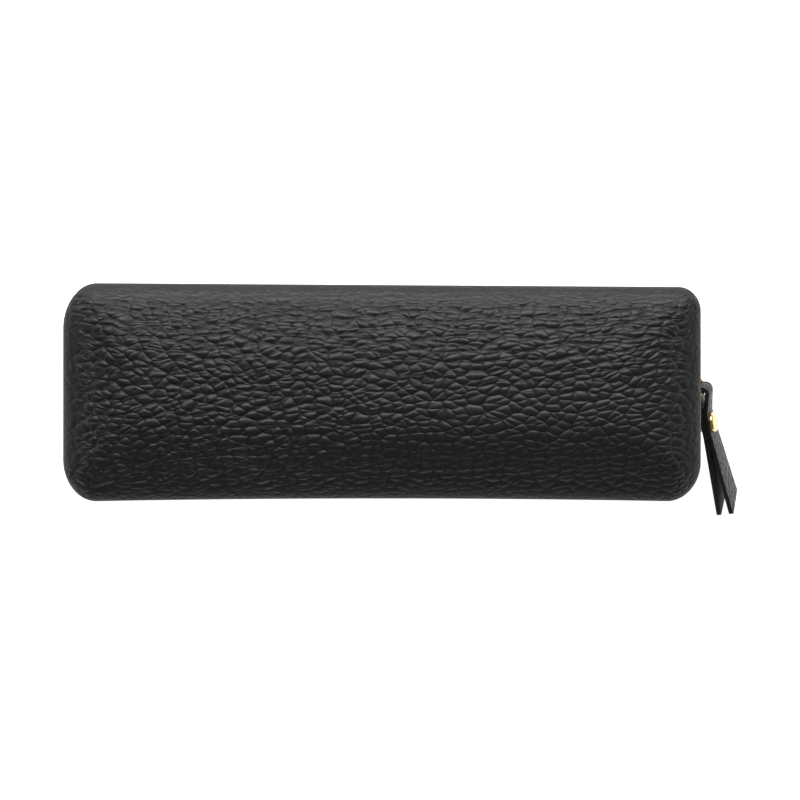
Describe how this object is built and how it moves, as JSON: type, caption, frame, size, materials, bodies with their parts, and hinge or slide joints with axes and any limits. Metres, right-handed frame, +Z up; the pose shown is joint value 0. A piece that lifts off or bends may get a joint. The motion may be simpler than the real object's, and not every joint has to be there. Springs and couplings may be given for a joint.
{
  "type": "fountain pen case",
  "caption": "Zip-round padded leather case for fountain pens, with a hinged lid, elastic pen loops and a leather pull on a ring.",
  "frame": {"origin": "centre of the flat base that the closed case rests on", "axes": "+X along the case towards the end with the pull, +Y towards the hinge, +Z up out of the lid"},
  "size_m": [0.2144, 0.0737, 0.037],
  "materials": {
    "leather": "satin pebbled",
    "strap_leather": "satin, brown raw edges",
    "foam": "matt",
    "lining": "matt woven",
    "zip_tape": "matt woven",
    "elastic": "matt ribbed",
    "gold_metal": "pale gold, satin"
  },
  "bodies": {
    "base": {"base_leather": "leather", "base_padding": "foam", "base_lining": "lining", "base_zip_tape": "zip_tape", "base_zip_teeth": "gold_metal", "base_zip_stop": "gold_metal", "zip_box_stop": "gold_metal", "hinge_gusset": "leather", "loop_backing": "lining", "pen_loop_1": "elastic", "pen_loop_2": "elastic", "pen_loop_3": "elastic"},
    "lid": {"lid_leather": "leather", "lid_padding": "foam", "lid_lining": "lining", "lid_zip_tape": "zip_tape", "lid_zip_teeth": "gold_metal", "lid_zip_stop": "gold_metal"},
    "slider": {"slider_body": "gold_metal", "slider_bail": "gold_metal"},
    "ring": {"pull_ring": "gold_metal"},
    "strap": {"pull_strap": "strap_leather", "rivet_front_cap": "gold_metal", "rivet_back_cap": "gold_metal"}
  },
  "joints": [
    {"name": "lid_hinge", "type": "hinge", "parent": "base", "child": "lid", "pos_m": [0, 0.02845, 0.0185], "axis": [-1, 0, 0], "range_deg": [0, 100], "deforming": ["hinge_gusset"]},
    {"name": "zip_slide", "type": "slide", "parent": "base", "child": "slider", "axis": [0, -1, 0], "range_m": [0, 0.02525], "deforming": ["lid_zip_teeth", "base_zip_teeth"]},
    {"name": "ring_swing", "type": "hinge", "parent": "slider", "child": "ring", "pos_m": [0.09777, 0.00466, 0.0185], "axis": [-0.3592, -0.3892, 0.8482], "range_deg": [0, 90]},
    {"name": "strap_swing", "type": "hinge", "parent": "ring", "child": "strap", "pos_m": [0.10199, 0.0004, 0.01834], "axis": [-0.3592, -0.3892, 0.8482], "range_deg": [0, 65]}
  ]
}
